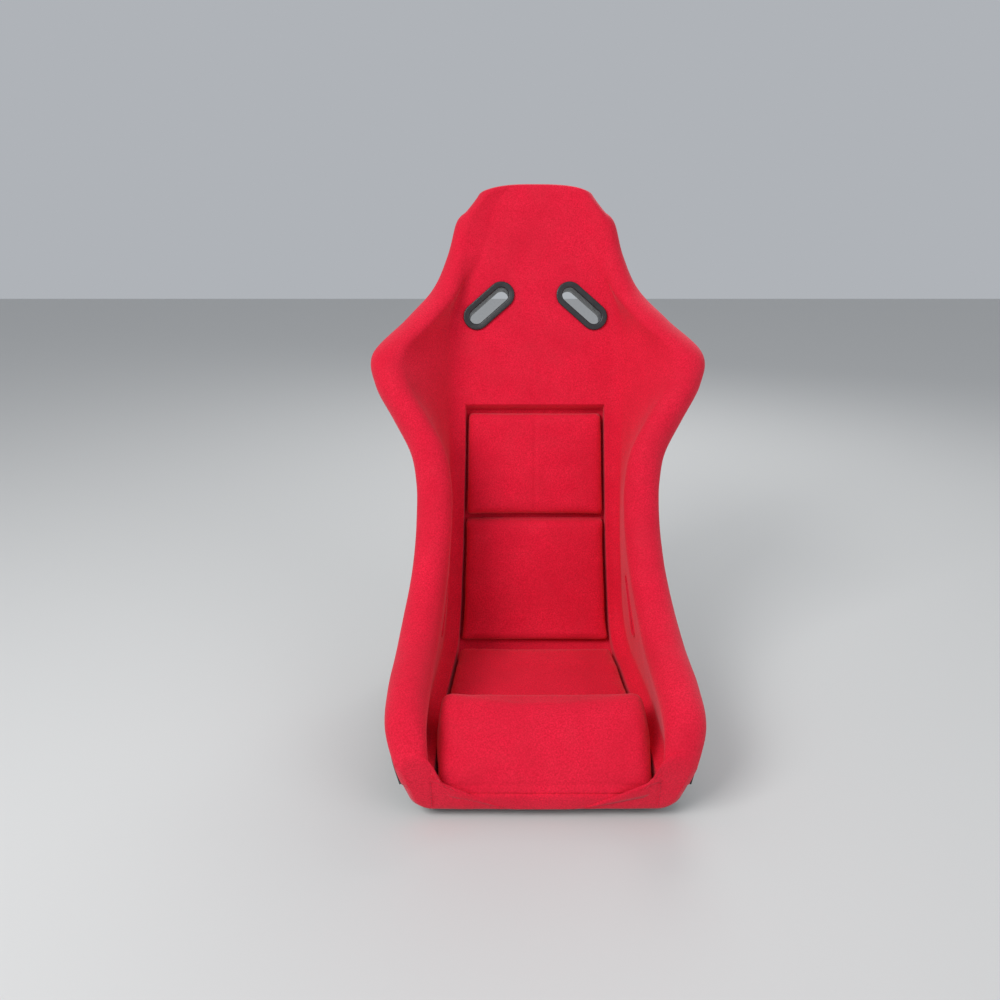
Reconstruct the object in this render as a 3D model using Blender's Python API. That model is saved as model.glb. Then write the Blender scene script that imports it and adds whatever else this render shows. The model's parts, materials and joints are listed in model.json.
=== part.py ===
"""Fixed-back racing seat: a glass-fibre tub, foam bolsters under one fabric lining, four loose pads,
harness bezels and side mounts. Metres, +Z up. The seat faces -Y and stands on its flat sole; the
occupant's left is +X. Every solid is drawn on sections that fan out from the trough of the seat
to the crest of its side bolsters."""

import math

import bmesh
import bpy
from mathutils import Matrix, Vector

# Overall sizes
SHOULDER_WIDTH = 0.586
HIP_WIDTH = 0.480
WAIST_WIDTH = 0.428
HEAD_WIDTH = 0.300
BASE_LENGTH = 0.430
BACK_HEIGHT = 0.817  # from the pads at the heel to the top of the head
SEAT_LEVEL = 0.068  # top of the base lining above the sole

# Walls and clearances
GAP = 0.0003
FACET_ROOM = 0.0002  # extra room between the foam and the lining's flat facets
SKIN = 0.0015
SHELL_WALL = 0.004
SHELL_DEPTH_BASE = SEAT_LEVEL + 0.007
SHELL_DEPTH_BACK = 0.045
SHELL_CORNER = 0.030
TAIL = 0.028  # how far the lining reaches down the outside of the shell
TAIL_SHARE = 0.7  # and at most this share of the side wall
SOLE_MIDDLE = 0.240  # from the front lip back to the middle of the sole, which is the origin

# Loose pads
PAD_BED = 0.028  # depth of the beds that the pads lie in
PAD_GAP = 0.003
LEDGE = 0.004  # between the edge of a bed and the bolster
STEP_WIDTH = 0.0012
STEP_RISE = 0.00015
FILLET_START = math.radians(-80)
FLANK_CROWN = 0.0008
PAD_SKIN = 0.0015
PAD_CLEAR = 0.0011  # under a pad's tape
PAD_CROWN = 0.0035
PAD_ROUND = 0.010
PAD_SECTIONS = 9
HEEL_CLEAR = 0.002
HEEL_RISE = 0.46  # rows above the heel where the back pads start
TOP_CLEAR = 0.10  # rows below the bed's top edge where they end
THIGH_PAD_FRONT = 0.024  # its thickness at the front edge
THIGH_PAD_CREST = 0.092
THIGH_PAD_LENGTH = 0.155
THIGH_PAD_START = 0.0085
THIGH_CREST_AT = 0.85  # place of its crest, as a share of its length
THIGH_CREST_DROP = 0.016
STRIP_THICK = 0.0012
STRIP_REACH = 0.05  # half its length across the seat
STRIP_EDGE = 0.02

# Harness slots and their bezels
SLOT_OUTER_X = 0.144
SLOT_ROW = 13.45  # place along the seat, in rows of the table below
SLOT_TILT = math.radians(41)
BEZEL_LENGTH = 0.112
BEZEL_WIDTH = 0.050
BEZEL_RIM = 0.0115
BEZEL_FLANGE = 0.0045
SLOT_X = SLOT_OUTER_X - BEZEL_LENGTH / 2
BEZEL_STEP = 0.014  # its sleeve is this much shorter and narrower than its flange
BEZEL_LIFT = 0.0017  # underside of the flange above the lining or the shell
BEZEL_CHAMFER = 0.0015
SLOT_CLEARANCE = 0.0006
SCREW_RADIUS = 0.0022
SCREW_SPACING = BEZEL_LENGTH - 0.0125
SCREW_DEPTH = 0.0026
SCREW_LENGTH = 0.0032
SCREW_CLEARANCE = 0.0003

# Lap-belt slots through the hip walls
LAP_CENTRE = (0.332, 0.186)
LAP_LENGTH = 0.110
LAP_WIDTH = 0.026
LAP_ANGLE = math.radians(56)

# Side mounts
MOUNT_FACE_IN = 0.0235  # the mounting face inside the widest point of the hips
BOSS_THICK = 0.0235
MOUNT_Y = (0.075, 0.365)
MOUNT_Z = 0.060
BOSS_HEIGHT = 0.052
BOSS_END = 0.024
PLATE_THICK = 0.003
PLATE_HEIGHT = 0.036
PLATE_END = 0.020
NUT_ROOM = 0.001
NUT_HEIGHT = 0.0062
NUT_RADIUS = 0.0075
BOLT_HOLE = 0.0042
NUT_BORE = 0.0034

WELT_RADIUS = 0.003
WELT_OFF = 0.0014
CUT_PAST = 0.03  # how far a cutter runs past the faces it cuts
LAP_CUT_REACH = 0.4
BOLT_CUT = (0.15, 0.30)

HIP = HIP_WIDTH / 2
SHOULDER = SHOULDER_WIDTH / 2
WAIST = WAIST_WIDTH / 2
HEAD = HEAD_WIDTH / 2
MOUNT_FACE_X = HIP - MOUNT_FACE_IN
BOSS_INNER_X = MOUNT_FACE_X - BOSS_THICK
LENGTH = BASE_LENGTH / 0.430
HEIGHT = BACK_HEIGHT / 0.817

# Rows of the seat from the front lip to the top of the head: trough (y, z), crest of the bolster
# (y, z), outer half width, half width of the trough, crest radius, fillet radius, shell depth and
# half width of the shell's tub. y is counted along the base and z above the base lining.
BASE, BACK = SHELL_DEPTH_BASE, SHELL_DEPTH_BACK
ROWS = [
    ((0.004, 0.005), (0.000, 0.052), HIP - 0.020, HIP - 0.070, 0.024, 0.012, 0.055, HIP - 0.038),
    ((0.045, 0.003), (0.035, 0.097), HIP - 0.003, HIP - 0.070, 0.030, 0.016, BASE, HIP - 0.035),
    ((0.120, 0.001), (0.100, 0.118), HIP, HIP - 0.071, 0.032, 0.018, BASE, HIP - 0.034),
    ((0.210, 0.000), (0.180, 0.136), HIP - 0.005, HIP - 0.075, 0.032, 0.020, BASE, HIP - 0.034),
    ((0.300, 0.000), (0.245, 0.168), HIP - 0.012, HIP - 0.081, 0.031, 0.020, BASE, HIP - 0.034),
    ((0.380, 0.004), (0.295, 0.210), HIP - 0.020, HIP - 0.088, 0.030, 0.022, BASE, HIP - 0.035),
    ((0.432, 0.040), (0.332, 0.257), WAIST + 0.001, WAIST - 0.066, 0.030, 0.022, 0.085, WAIST - 0.017),
    ((0.460, 0.107), (0.358, 0.304), WAIST - 0.001, WAIST - 0.069, 0.030, 0.022, 0.060, WAIST - 0.026),
    ((0.482, 0.180), (0.376, 0.352), WAIST, WAIST - 0.072, 0.030, 0.022, BACK, WAIST - 0.032),
    ((0.507, 0.262), (0.392, 0.402), WAIST + 0.010, WAIST - 0.074, 0.030, 0.024, BACK, WAIST - 0.036),
    ((0.535, 0.352), (0.408, 0.452), SHOULDER - 0.039, WAIST - 0.076, 0.031, 0.028, BACK, WAIST - 0.039),
    ((0.562, 0.442), (0.428, 0.500), SHOULDER - 0.007, WAIST - 0.077, 0.032, 0.034, BACK, WAIST - 0.041),
    ((0.585, 0.517), (0.458, 0.547), SHOULDER, WAIST - 0.076, 0.032, 0.034, BACK, WAIST - 0.042),
    ((0.605, 0.582), (0.525, 0.594), SHOULDER - 0.053, WAIST - 0.076, 0.030, 0.028, BACK, WAIST - 0.043),
    ((0.620, 0.637), (0.588, 0.642), HEAD + 0.043, HEAD - 0.026, 0.026, 0.020, 0.044, HEAD + 0.007),
    ((0.633, 0.697), (0.621, 0.699), HEAD + 0.016, HEAD - 0.052, 0.024, 0.026, 0.042, HEAD - 0.018),
    ((0.643, 0.752), (0.634, 0.753), HEAD, HEAD - 0.065, 0.022, 0.024, 0.040, HEAD - 0.032),
    ((0.650, 0.792), (0.642, 0.793), HEAD - 0.016, HEAD - 0.078, 0.021, 0.022, 0.038, HEAD - 0.045),
    ((0.655, 0.817), (0.648, 0.817), HEAD - 0.042, HEAD - 0.100, 0.020, 0.020, 0.034, HEAD - 0.067),
]
LAST = len(ROWS) - 1
BED_END = 10.85  # row where the beds for the pads stop, below the harness slots
HEEL_ROW = 5.1  # row where the base pads stop and the back pads begin
WAIST_ROW = 8.5  # row where the bolster foams are split
NECK_ROW = 12.0  # row where the head foam begins
FOAM_SPLIT_ROW = 6.0  # row where the trough's foam is split
ROW_GAP = 0.004
SHELL_ROWS = (0.04, LAST - 0.12)
FOAM_ROWS = (0.03, LAST - 0.08)
WELT_ROWS = (0.10, LAST - 0.15)
MID_BACK_ROW = 8.55  # row between the lower and the upper back pad
BED_FADE = 0.05  # rows over which the bed rises to the lining above it
STEPS = 2  # sections between two rows of the table
END_SECTIONS = (0.02, LAST - 0.06)
GRID = sorted(
    {i / STEPS for i in range(LAST * STEPS + 1)} | {*END_SECTIONS, BED_END - BED_FADE, BED_END}
)

FABRIC = ("red_fabric", (0.72, 0.02, 0.055), 0.92, 0.0)
FOAM = ("grey_foam", (0.16, 0.16, 0.17), 1.0, 0.0)
RESIN = ("black_gelcoat", (0.012, 0.012, 0.013), 0.30, 0.0)
PLASTIC = ("black_plastic", (0.02, 0.02, 0.022), 0.45, 0.0)
RUBBER = ("black_rubber", (0.015, 0.015, 0.015), 0.75, 0.0)
STEEL = ("zinc_steel", (0.55, 0.56, 0.58), 0.35, 1.0)
TAPE = ("black_tape", (0.03, 0.03, 0.03), 0.95, 0.0)


def clear_scene():
    for obj in list(bpy.data.objects):
        bpy.data.objects.remove(obj)


def material(spec):
    name, colour, roughness, metallic = spec
    found = bpy.data.materials.get(name)
    if found:
        return found
    made = bpy.data.materials.new(name)
    made.use_nodes = True
    shader = made.node_tree.nodes["Principled BSDF"]
    shader.inputs["Base Color"].default_value = (*colour, 1.0)
    shader.inputs["Roughness"].default_value = roughness
    shader.inputs["Metallic"].default_value = metallic
    return made


def new_object(name, bm, spec):
    bmesh.ops.recalc_face_normals(bm, faces=bm.faces)
    mesh = bpy.data.meshes.new(name)
    bm.to_mesh(mesh)
    bm.free()
    mesh.shade_smooth()
    mesh.set_sharp_from_angle(angle=math.radians(35))
    obj = bpy.data.objects.new(name, mesh)
    bpy.context.scene.collection.objects.link(obj)
    if spec:
        mesh.materials.append(material(spec))
    return obj


def loft(name, rings, spec, thin=False):
    """A closed solid through rings of equally many points, capped at both ends. A thin one's rings
    run out along one face and back along the other, and its caps are strips between the two."""
    bm = bmesh.new()
    loops = [[bm.verts.new(point) for point in ring] for ring in rings]
    count = len(rings[0])
    for first, second in zip(loops, loops[1:]):
        for i in range(count):
            j = (i + 1) % count
            a, b, c, d = first[i], first[j], second[j], second[i]
            if (a.co - c.co).length < (b.co - d.co).length:
                bm.faces.new((a, b, c))
                bm.faces.new((a, c, d))
            else:
                bm.faces.new((a, b, d))
                bm.faces.new((b, c, d))
    for loop in (loops[0], loops[-1]):
        if thin:
            for i in range(count // 2 - 1):
                bm.faces.new((loop[i], loop[i + 1], loop[count - 2 - i], loop[count - 1 - i]))
        else:
            bm.faces.new(loop)
    return new_object(name, bm, spec)


def cutter(obj):
    obj.hide_render = True
    obj.display_type = "WIRE"
    return obj


def boolean(obj, other, operation="DIFFERENCE"):
    modifier = obj.modifiers.new(other.name, "BOOLEAN")
    modifier.operation = operation
    modifier.object = other


# The fan of sections


def smooth(values, u):
    """Catmull-Rom value at u through values at whole numbers."""
    i = min(int(u), len(values) - 2)
    t = u - i
    a = values[max(i - 1, 0)]
    b, c = values[i], values[i + 1]
    d = values[min(i + 2, len(values) - 1)]
    return b + 0.5 * t * (c - a + t * (2 * a - 5 * b + 4 * c - d + t * (3 * (b - c) + d - a)))


def table_yz(column, u):
    y = smooth([row[column][0] for row in ROWS], u) * LENGTH
    z = smooth([row[column][1] for row in ROWS], u) * HEIGHT
    return Vector((0.0, y, z + SEAT_LEVEL))


def trough(u):
    return table_yz(0, u)


def section_axis(u):
    """Unit vector from the trough to the crest of the bolster, and the distance between them."""
    reach = table_yz(1, u) - trough(u)
    return reach.normalized(), reach.length


def trough_normal(u):
    step = 0.05
    tangent = trough(min(u + step, LAST)) - trough(max(u - step, 0))
    return Vector((0.0, -tangent.z, tangent.y)).normalized()


def size(column, u):
    return smooth([row[column] for row in ROWS], u)


def place(u, x, h):
    """The world point at x across and h along the section's axis."""
    axis, _ = section_axis(u)
    return trough(u) + axis * h + Vector((x, 0.0, 0.0))


def arc(centre, radius, start, end, count):
    angles = [start + (end - start) * i / (count - 1) for i in range(count)]
    return [(centre[0] + radius * math.cos(a), centre[1] + radius * math.sin(a)) for a in angles]


class Section:
    """Half of the seat's section at row u, in (x, h): fillet, bolster wall, crest and shell."""

    def __init__(self, u):
        self.u = u
        axis, reach = section_axis(u)
        self.outer = size(2, u)
        self.trough_half = size(3, u)
        self.crest_radius = size(4, u)
        self.fillet_radius = size(5, u)
        depth = size(6, u) / axis.dot(trough_normal(u))
        if axis.z > 0.05:
            depth = min(depth, trough(u).z / axis.z)
        self.depth = depth
        self.crest = (self.outer - self.crest_radius, reach - self.crest_radius)
        self.fillet = (self.trough_half, self.fillet_radius)
        self.corner_radius = min(SHELL_CORNER, 0.7 * depth)
        self.corner = (size(7, u) - self.corner_radius, self.corner_radius - depth)
        self.wall_turn = self._inner_tangent()
        self.flank = self._flank_angle()

    def _inner_tangent(self):
        """Direction of the bolster's inner wall, tangent to the fillet and to the crest."""
        dx = self.crest[0] - self.fillet[0]
        dh = self.crest[1] - self.fillet[1]
        together = (self.fillet_radius + self.crest_radius) / math.hypot(dx, dh)
        return math.atan2(dh, dx) + math.asin(min(together, 0.999))

    def _flank_angle(self):
        """Direction of the outward normal of the shell's side wall."""
        dx = self.corner[0] - self.crest[0]
        dh = self.corner[1] - self.crest[1]
        length = math.hypot(dx, dh)
        apart = (self.crest_radius - SKIN - GAP - self.corner_radius) / length
        self.wall = length * math.sqrt(1.0 - apart * apart)
        self.tail = min(TAIL, TAIL_SHARE * self.wall)
        turn = math.atan2(dh, dx) + math.acos(max(-1.0, min(1.0, apart)))
        return turn - 2 * math.pi if turn > math.pi / 2 else turn

    def on_crest(self, radius, angle, slide=0.0):
        """A point on the crest's circle, then slid down along the flank, which is a little crowned."""
        t = max(0.0, slide / self.wall)
        radius += 4 * FLANK_CROWN * t * (1 - t)
        x = self.crest[0] + radius * math.cos(angle) + slide * math.sin(self.flank)
        h = self.crest[1] + radius * math.sin(angle) - slide * math.cos(self.flank)
        return (x, h)

    def bed_depth(self, layer):
        """Depth of the pads' bed: full up to its last row, none beyond it."""
        fade = (BED_END + layer / 0.09 - self.u) / BED_FADE
        return PAD_BED * max(0.0, min(1.0, fade))

    def front(self, layer, arc_points=3, crest_points=5):
        """The lining's face, layer deep in it, from the edge of the pads' bed to the flank."""
        bed = self.bed_depth(layer) + layer
        step = self.trough_half - LEDGE + layer
        points = [(step, -bed), (step + STEP_WIDTH, STEP_RISE - layer)]
        start, end = FILLET_START, self.wall_turn - math.pi / 2
        points += arc(self.fillet, self.fillet_radius + layer, start, end, arc_points)
        top = self.wall_turn + math.pi / 2
        points += arc(self.crest, self.crest_radius - layer, top, self.flank, crest_points)
        return points

    def back(self, layer, arc_points=3):
        """The shell's outer face, layer deep in it, from the flank to the end of its floor."""
        crest = self.crest_radius - SKIN - GAP - layer
        rest = self.wall - self.tail
        slides = (0.0, self.tail, self.tail + 0.35 * rest, self.tail + 0.68 * rest)
        points = [self.on_crest(crest, self.flank, slide) for slide in slides]
        radius = max(self.corner_radius - layer, 0.001)
        return points + arc(self.corner, radius, self.flank, -math.pi / 2, arc_points)


def whole(half):
    """Both sides of a half outline that starts near the middle."""
    return [(-x, h) for x, h in reversed(half)] + half


def ring(u, points):
    return [place(u, x, h) for x, h in points]


def rings_between(start, end, make):
    """Rings on the grid's rows, and at start and end rings straight between their neighbours."""
    rings = []
    for u in [start] + [row for row in GRID if start < row < end] + [end]:
        low = max(row for row in GRID if row <= u)
        high = min(row for row in GRID if row >= u)
        first = make(Section(low))
        if high > low:
            t = (u - low) / (high - low)
            second = make(Section(high))
            first = [a.lerp(b, t) for a, b in zip(first, second)]
        rings.append(first)
    return rings


# Plain shapes


def stadium(length, width):
    """An outline with round ends along X."""
    radius = width / 2
    reach = length / 2 - radius
    right = arc((reach, 0.0), radius, -math.pi / 2, math.pi / 2, 9)
    left = arc((-reach, 0.0), radius, math.pi / 2, 1.5 * math.pi, 9)
    return right + left


def stadium_prism(name, length, width, low, high):
    outline = stadium(length, width)
    return loft(name, [[Vector((x, y, h)) for x, y in outline] for h in (low, high)], None)


def grown(outline_size, margin):
    return (outline_size[0] + 2 * margin, outline_size[1] + 2 * margin)


def bezel_solid(name, low):
    """A stadium sleeve from low up to a chamfered flange."""
    flange = (BEZEL_LENGTH, BEZEL_WIDTH)
    shoulder = BEZEL_FACE - BEZEL_CHAMFER
    levels = [
        (SLEEVE_INNER, low),
        (SLEEVE_OUTER, low),
        (SLEEVE_OUTER, BEZEL_LIFT),
        (flange, BEZEL_LIFT),
        (flange, shoulder),
        (grown(flange, -BEZEL_CHAMFER), BEZEL_FACE),
        (grown(SLEEVE_INNER, BEZEL_CHAMFER), BEZEL_FACE),
        (SLEEVE_INNER, shoulder),
    ]
    bm = bmesh.new()
    loops = [[bm.verts.new((x, y, h)) for x, y in stadium(*outline)] for outline, h in levels]
    count = len(loops[0])
    for first, second in zip(loops, loops[1:] + loops[:1]):
        for i in range(count):
            j = (i + 1) % count
            bm.faces.new((first[i], first[j], second[j], second[i]))
    return new_object(name, bm, PLASTIC)


def box(name, low, high, spec=None):
    bm = bmesh.new()
    bmesh.ops.create_cube(bm, size=1.0)
    middle = [(a + b) / 2 for a, b in zip(low, high)]
    sides = [b - a for a, b in zip(low, high)]
    bmesh.ops.scale(bm, vec=sides, verts=bm.verts)
    bmesh.ops.translate(bm, vec=middle, verts=bm.verts)
    return new_object(name, bm, spec)


def rod_x(name, radius, start, end, y, z, sides=16, spec=None):
    """A cylinder along X between two values of x."""
    bm = bmesh.new()
    turn = Matrix.Rotation(math.pi / 2, 4, "Y")
    move = Matrix.Translation(((start + end) / 2, y, z))
    bmesh.ops.create_cone(
        bm, cap_ends=True, segments=sides, radius1=radius, radius2=radius,
        depth=abs(end - start), matrix=move @ turn,
    )
    return new_object(name, bm, spec)


# Harness slots, lap slots and the shell


def slot_frame(side):
    """Matrix of a harness slot: X along it, Z out of the seat's face, at its centre on the lining."""
    up = (trough(SLOT_ROW + 0.3) - trough(SLOT_ROW - 0.3)).normalized()
    out = trough_normal(SLOT_ROW)
    across = up.cross(out)
    along = across * math.cos(SLOT_TILT) - up * math.sin(SLOT_TILT) * side
    other = out.cross(along)
    centre = trough(SLOT_ROW) + Vector((side * SLOT_X, 0.0, 0.0))
    matrix = Matrix((along, other, out)).transposed().to_4x4()
    matrix.translation = centre
    return matrix


SIDES = (("left", 1), ("right", -1))
SLOT_DEPTH = size(6, SLOT_ROW)
SLEEVE_OUTER = (BEZEL_LENGTH - BEZEL_STEP, BEZEL_WIDTH - BEZEL_STEP)
SLEEVE_INNER = (BEZEL_LENGTH - 2 * BEZEL_RIM, BEZEL_WIDTH - 2 * BEZEL_RIM)
BEZEL_FACE = BEZEL_LIFT + BEZEL_FLANGE


def slot_cutters():
    cutters = []
    for name, side in SIDES:
        length, width = grown(SLEEVE_OUTER, SLOT_CLEARANCE)
        slot = stadium_prism(f"slot_cut_{name}", length, width, -SLOT_DEPTH - CUT_PAST, CUT_PAST)
        slot.matrix_world = slot_frame(side)
        cutters.append(cutter(slot))
    return cutters


def lap_cutter():
    slot = stadium_prism("lap_cut", LAP_LENGTH, LAP_WIDTH, -LAP_CUT_REACH, LAP_CUT_REACH)
    along = Vector((0.0, math.cos(LAP_ANGLE), math.sin(LAP_ANGLE)))
    out = Vector((1.0, 0.0, 0.0))
    matrix = Matrix((along, out.cross(along), out)).transposed().to_4x4()
    matrix.translation = Vector((0.0, LAP_CENTRE[0] * LENGTH, LAP_CENTRE[1] * HEIGHT))
    slot.matrix_world = matrix
    return cutter(slot)


def mount_sites():
    return [y * LENGTH for y in MOUNT_Y]


def boss(side, name):
    front, rear = mount_sites()
    low = (BOSS_INNER_X, front - BOSS_END, MOUNT_Z - BOSS_HEIGHT / 2)
    high = (MOUNT_FACE_X, rear + BOSS_END, MOUNT_Z + BOSS_HEIGHT / 2)
    if side < 0:
        low, high = (-high[0], low[1], low[2]), (-low[0], high[1], high[2])
    return cutter(box(f"boss_{name}", low, high))


def build_shell(slots, lap):
    def shell_ring(section):
        outer = whole(section.back(0.0)[::-1])
        return ring(section.u, outer + whole(section.back(SHELL_WALL)[::-1])[::-1])

    shell = loft("shell", rings_between(*SHELL_ROWS, shell_ring), RESIN, thin=True)
    for name, side in SIDES:
        boolean(shell, boss(side, name), "UNION")
    for i, y in enumerate(mount_sites()):
        boolean(shell, cutter(rod_x(f"bolt_cut_{i}", BOLT_HOLE, -BOLT_CUT[1], BOLT_CUT[1], y, MOUNT_Z)))
    for other in (*slots, lap):
        boolean(shell, other)
    return shell


# Foam and lining

FOAM_BACK = SHELL_WALL + GAP
FOAM_FRONT = SKIN + GAP + FACET_ROOM
EDGE_RISE = 0.0002


def side_ring(section, side):
    """Foam between the shell's side wall and the lining, outside the trough."""
    edge = section.trough_half + GAP
    rim = section.on_crest(section.crest_radius - FOAM_FRONT, section.flank, -GAP)
    lip = section.on_crest(section.crest_radius - FOAM_FRONT - FOAM_BACK, section.flank, -GAP)
    points = [(edge, EDGE_RISE - FOAM_FRONT)] + section.front(FOAM_FRONT)[2:-1] + [rim, lip]
    points += section.back(FOAM_BACK)[1:] + [(edge, FOAM_BACK - section.depth)]
    return ring(section.u, [(side * x, h) for x, h in points])


def middle_ring(section):
    """Foam under the trough."""
    edge = section.trough_half
    floor = FOAM_BACK - section.depth
    bed = section.bed_depth(FOAM_FRONT) + FOAM_FRONT
    step = edge - LEDGE + FOAM_FRONT
    half = [(step, -bed), (step + STEP_WIDTH, STEP_RISE - FOAM_FRONT)]
    half += [(edge, EDGE_RISE - FOAM_FRONT), (edge, floor)]
    return ring(section.u, whole(half))


def head_ring(section):
    """Foam across the whole width at the head and the shoulders' top."""
    front = section.front(FOAM_FRONT)
    rim = section.on_crest(section.crest_radius - FOAM_FRONT, section.flank, -GAP)
    lip = section.on_crest(section.crest_radius - FOAM_FRONT - FOAM_BACK, section.flank, -GAP)
    return ring(section.u, whole(front[:-1] + [rim, lip] + section.back(FOAM_BACK)[1:]))


def build_foam(slots, lap):
    pieces = []
    front, top = FOAM_ROWS
    spans = (("base_foam", front, FOAM_SPLIT_ROW), ("back_foam", FOAM_SPLIT_ROW + ROW_GAP, NECK_ROW))
    for name, start, end in spans:
        pieces.append(loft(name, rings_between(start, end, middle_ring), FOAM))
    for name, side in SIDES:
        for kind, start, end in (
            ("thigh_bolster_foam", front, WAIST_ROW),
            ("shoulder_bolster_foam", WAIST_ROW + ROW_GAP, NECK_ROW),
        ):
            rings = rings_between(start, end, lambda section: side_ring(section, side))
            pieces.append(loft(f"{kind}_{name}", rings, FOAM))
    head_rings = rings_between(NECK_ROW + ROW_GAP, top, head_ring)
    pieces.append(loft("head_foam", head_rings, FOAM))
    for piece in pieces:
        if piece.name == "head_foam":
            for slot in slots:
                boolean(piece, slot)
        if piece.name.startswith("thigh"):
            boolean(piece, lap)
            pocket = mount_pocket(1 if piece.name.endswith("left") else -1, piece.name)
            boolean(piece, pocket)
    return pieces


def mount_pocket(side, name):
    """Room in the foam for the boss, the plate and its nuts."""
    front, rear = mount_sites()
    reach = BOSS_END + GAP
    inner = BOSS_INNER_X - GAP - PLATE_THICK - GAP - NUT_HEIGHT - NUT_ROOM
    low = (inner, front - reach, MOUNT_Z - BOSS_HEIGHT / 2 - GAP)
    high = (MOUNT_FACE_X, rear + reach, MOUNT_Z + BOSS_HEIGHT / 2 + GAP)
    if side < 0:
        low, high = (-high[0], low[1], low[2]), (-low[0], high[1], high[2])
    return cutter(box(f"pocket_{name}", low, high))


def build_lining(slots, lap):
    """The fabric skin: one sheet over the foam, round the rim and a little way down the shell."""
    def lining_ring(section):
        radius = section.crest_radius
        front = section.front(0.0) + [section.on_crest(radius, section.flank, section.tail)]
        tail_in = section.on_crest(radius - SKIN, section.flank, section.tail)
        if section.u in (0, LAST):
            inner = spread(section.back(-GAP)[::-1], len(front) - 1)
        else:
            inner = section.front(SKIN)
        return ring(section.u, whole(front) + whole(inner + [tail_in])[::-1])

    rings = rings_between(0, LAST, lining_ring)
    lining = loft("lining_cover", rings, FABRIC, thin=True)
    for other in (*slots, lap):
        boolean(lining, other)
    return lining


def spread(points, count):
    """The same path with count points, evenly spaced from its start."""
    lengths = [0.0]
    for (x0, h0), (x1, h1) in zip(points, points[1:]):
        lengths.append(lengths[-1] + math.hypot(x1 - x0, h1 - h0))
    made = []
    for i in range(count):
        want = lengths[-1] * i / (count - 1) * 0.98
        k = max(j for j in range(len(lengths)) if lengths[j] <= want + 1e-12)
        k = min(k, len(points) - 2)
        t = (want - lengths[k]) / max(lengths[k + 1] - lengths[k], 1e-9)
        x = points[k][0] + t * (points[k + 1][0] - points[k][0])
        h = points[k][1] + t * (points[k + 1][1] - points[k][1])
        made.append((x, h))
    return made


def build_welt():
    """Piping along each cut edge of the lining, on the outside of the shell."""
    def welt_point(section, side):
        radius = section.crest_radius - SKIN + WELT_RADIUS + WELT_OFF
        x, h = section.on_crest(radius, section.flank, section.tail + WELT_RADIUS + WELT_OFF)
        return ring(section.u, [(side * x, h)])

    for name, side in SIDES:
        curve = bpy.data.curves.new(f"edge_welt_{name}", "CURVE")
        curve.dimensions = "3D"
        curve.bevel_depth = WELT_RADIUS
        curve.bevel_resolution = 1
        curve.use_fill_caps = True
        spline = curve.splines.new("POLY")
        points = rings_between(*WELT_ROWS, lambda section: welt_point(section, side))
        spline.points.add(len(points) - 1)
        for point, found in zip(spline.points, points):
            point.co = (*found[0], 1.0)
        obj = bpy.data.objects.new(f"edge_welt_{name}", curve)
        bpy.context.scene.collection.objects.link(obj)
        curve.materials.append(material(RUBBER))


# Loose pads


def bed_point(u):
    axis, _ = section_axis(u)
    return trough(u) - axis * PAD_BED


def bed_height(lift, origin, distance):
    """Where the bed lies on the line through origin + distance along the pad, in lift's direction."""
    along = Vector((0.0, lift.z, -lift.y))
    steps = 400
    path = []
    for i in range(steps + 1):
        u = BED_END * i / steps
        offset = bed_point(u) - origin
        path.append((offset.dot(along), offset.dot(lift), u))
    crossings = [(path[0][1], path[0][2])]
    for (x0, h0, _), (x1, h1, u) in zip(path, path[1:]):
        if (x0 - distance) * (x1 - distance) <= 0 and x0 != x1:
            crossings.append((h0 + (distance - x0) / (x1 - x0) * (h1 - h0), u))
    return crossings[-1]


BASE_LIFT = Vector((0.0, 0.0, 1.0))
BACK_LIFT = trough_normal(MID_BACK_ROW)


def pad_layers(spec):
    """Sections of a pad: for each place along it, the bed, the top and the half width."""
    name, lift, start, end, thickness = spec
    origin = Vector((0.0, 0.0, 0.0)) if lift is BASE_LIFT else trough(MID_BACK_ROW)
    made = []
    for i in range(PAD_SECTIONS):
        t = i / (PAD_SECTIONS - 1)
        distance = start + (end - start) * t
        height, u = bed_height(lift, origin, distance)
        half = size(3, u) - LEDGE - PAD_GAP
        along = Vector((0.0, lift.z, -lift.y))
        base = origin + along * distance + lift * height
        made.append((base, lift, half, thickness(t)))
    return made


def pad_ring(layer, bottom, inset, round_top):
    """A rounded slab section between bottom and the pad's top, inset all round by inset."""
    base, lift, half, thick = layer
    half -= inset
    top = thick - inset
    r = min(round_top, top - bottom)
    low = [(half, bottom), (half, max(top - r, bottom + 0.0005))]
    corner = [(half - r * (1 - math.cos(a)), top - r * (1 - math.sin(a))) for a in (0.6, 1.15)]
    half_points = low + corner + [(half - r, top)]
    points = half_points + [(-x, h) for x, h in reversed(half_points)]
    return [base + lift * h + Vector((x, 0.0, 0.0)) for x, h in points]


def strip_between(layers, low, name, spec):
    """A flat strip of tape across the middle of the pad's bed."""
    rings = []
    for base, lift, half, _ in layers[3:6]:
        reach = min(STRIP_REACH, half - STRIP_EDGE)
        points = [(reach, low), (reach, low + STRIP_THICK), (-reach, low + STRIP_THICK), (-reach, low)]
        rings.append([base + lift * h + Vector((x, 0.0, 0.0)) for x, h in points])
    return loft(name, rings, spec)


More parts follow.
